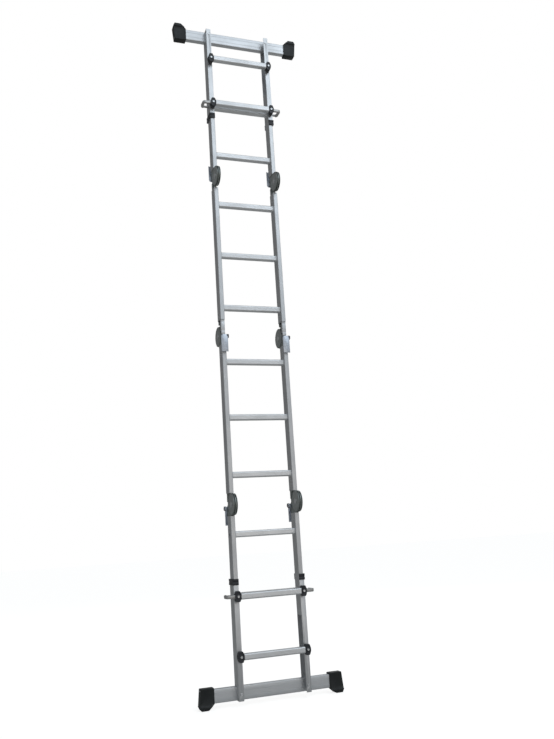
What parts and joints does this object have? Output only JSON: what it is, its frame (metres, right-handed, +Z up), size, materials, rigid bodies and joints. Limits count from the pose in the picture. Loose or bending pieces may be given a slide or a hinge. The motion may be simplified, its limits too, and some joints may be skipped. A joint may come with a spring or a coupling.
{
  "type": "telescoping ladder",
  "caption": "Straight aluminium ladder of hinged sections whose two end sections telescope, with front rungs, lock handles, stabiliser bars and rubber feet.",
  "frame": {"origin": "middle of the base on the ground plane, below the middle of the overall box", "axes": "+Z up along the rails, +X to the right along the rungs, +Y to the back, away from the climber's side with the front rungs"},
  "size_m": [0.7, 0.196, 3.48],
  "materials": {
    "satin_aluminium": "satin mill finish, fine grain along the extrusion",
    "hinge_steel": "dark zinc plate, satin",
    "bright_steel": "bright zinc plate",
    "lever_metal": "light bluish satin metal",
    "grey_handle": "moulded glass-filled plastic, matt",
    "black_plastic": "moulded plastic, matt",
    "foot_rubber": "moulded rubber, matt"
  },
  "bodies": {
    "telescope_bottom": {"bar_bottom": "satin_aluminium", "bolts_bottom": "bright_steel", "brackets_bottom": "black_plastic", "collars_bottom": "black_plastic", "foot_bottom_left": "foot_rubber", "foot_bottom_right": "foot_rubber", "rail_bottom_left": "satin_aluminium", "rail_bottom_right": "satin_aluminium", "rung_bottom_inner": "satin_aluminium", "rung_bottom_outer": "satin_aluminium"},
    "telescope_top": {"bar_top": "satin_aluminium", "bolts_top": "bright_steel", "brackets_top": "black_plastic", "collars_top": "black_plastic", "foot_top_left": "foot_rubber", "foot_top_right": "foot_rubber", "rail_top_left": "satin_aluminium", "rail_top_right": "satin_aluminium", "rung_top_inner": "satin_aluminium", "rung_top_outer": "satin_aluminium"},
    "section_d": {"hinge_forks_lower": "hinge_steel", "hinge_rivets_d": "bright_steel", "rail_d_left": "satin_aluminium", "rail_d_right": "satin_aluminium", "rung_fixed_01": "satin_aluminium", "rung_fixed_02": "satin_aluminium"},
    "section_c": {"hinge_forks_middle": "hinge_steel", "hinge_rivets_c": "bright_steel", "hinge_tongues_lower": "hinge_steel", "rail_c_left": "satin_aluminium", "rail_c_right": "satin_aluminium", "rung_fixed_03": "satin_aluminium", "rung_fixed_04": "satin_aluminium", "rung_fixed_05": "satin_aluminium"},
    "section_a": {"hinge_forks_upper": "hinge_steel", "hinge_rivets_a": "bright_steel", "rail_a_left": "satin_aluminium", "rail_a_right": "satin_aluminium", "rung_fixed_09": "satin_aluminium", "rung_fixed_10": "satin_aluminium"},
    "section_b": {"hinge_rivets_b": "bright_steel", "hinge_tongues_middle": "hinge_steel", "hinge_tongues_upper": "hinge_steel", "rail_b_left": "satin_aluminium", "rail_b_right": "satin_aluminium", "rung_fixed_06": "satin_aluminium", "rung_fixed_07": "satin_aluminium", "rung_fixed_08": "satin_aluminium"},
    "lever_lower_left": {"lever_lower_left": "lever_metal"},
    "lever_lower_right": {"lever_lower_right": "lever_metal"},
    "lever_middle_left": {"lever_middle_left": "lever_metal"},
    "lever_middle_right": {"lever_middle_right": "lever_metal"},
    "lever_upper_left": {"lever_upper_left": "lever_metal"},
    "lever_upper_right": {"lever_upper_right": "lever_metal"},
    "lock_bottom_left": {"lock_bottom_left": "grey_handle"},
    "lock_bottom_right": {"lock_bottom_right": "grey_handle"},
    "lock_top_left": {"lock_top_left": "grey_handle"},
    "lock_top_right": {"lock_top_right": "grey_handle"}
  },
  "joints": [
    {"name": "middle_hinge", "type": "hinge", "parent": "section_c", "child": "section_b", "pos_m": [0, 0.046, 1.74], "axis": [-1, 0, 0], "range_deg": [0, 180]},
    {"name": "upper_hinge", "type": "hinge", "parent": "section_b", "child": "section_a", "pos_m": [0, -0.046, 2.58], "axis": [1, 0, 0], "range_deg": [0, 180]},
    {"name": "lower_hinge", "type": "hinge", "parent": "section_c", "child": "section_d", "pos_m": [0, -0.046, 0.9], "axis": [-1, 0, 0], "range_deg": [0, 180]},
    {"name": "top_telescope", "type": "slide", "parent": "section_a", "child": "telescope_top", "axis": [0, 0, -1], "range_m": [0, 0.28]},
    {"name": "bottom_telescope", "type": "slide", "parent": "section_d", "child": "telescope_bottom", "axis": [0, 0, 1], "range_m": [0, 0.28]},
    {"name": "lock_top_left_slide", "type": "slide", "parent": "telescope_top", "child": "lock_top_left", "axis": [1, 0, 0], "range_m": [0, 0.026]},
    {"name": "lock_top_right_slide", "type": "slide", "parent": "telescope_top", "child": "lock_top_right", "axis": [-1, 0, 0], "range_m": [0, 0.026]},
    {"name": "lock_bottom_left_slide", "type": "slide", "parent": "telescope_bottom", "child": "lock_bottom_left", "axis": [1, 0, 0], "range_m": [0, 0.026]},
    {"name": "lock_bottom_right_slide", "type": "slide", "parent": "telescope_bottom", "child": "lock_bottom_right", "axis": [-1, 0, 0], "range_m": [0, 0.026]},
    {"name": "lever_upper_left_turn", "type": "hinge", "parent": "section_a", "child": "lever_upper_left", "pos_m": [-0.162, 0.03, 2.596], "axis": [-1, 0, 0], "range_deg": [-5, 15]},
    {"name": "lever_upper_right_turn", "type": "hinge", "parent": "section_a", "child": "lever_upper_right", "pos_m": [0.162, 0.03, 2.596], "axis": [-1, 0, 0], "range_deg": [-5, 15]},
    {"name": "lever_middle_left_turn", "type": "hinge", "parent": "section_c", "child": "lever_middle_left", "pos_m": [-0.162, -0.03, 1.724], "axis": [-1, 0, 0], "range_deg": [-5, 15]},
    {"name": "lever_middle_right_turn", "type": "hinge", "parent": "section_c", "child": "lever_middle_right", "pos_m": [0.162, -0.03, 1.724], "axis": [-1, 0, 0], "range_deg": [-5, 15]},
    {"name": "lever_lower_left_turn", "type": "hinge", "parent": "section_d", "child": "lever_lower_left", "pos_m": [-0.162, 0.03, 0.884], "axis": [1, 0, 0], "range_deg": [-5, 15]},
    {"name": "lever_lower_right_turn", "type": "hinge", "parent": "section_d", "child": "lever_lower_right", "pos_m": [0.162, 0.03, 0.884], "axis": [1, 0, 0], "range_deg": [-5, 15]}
  ]
}
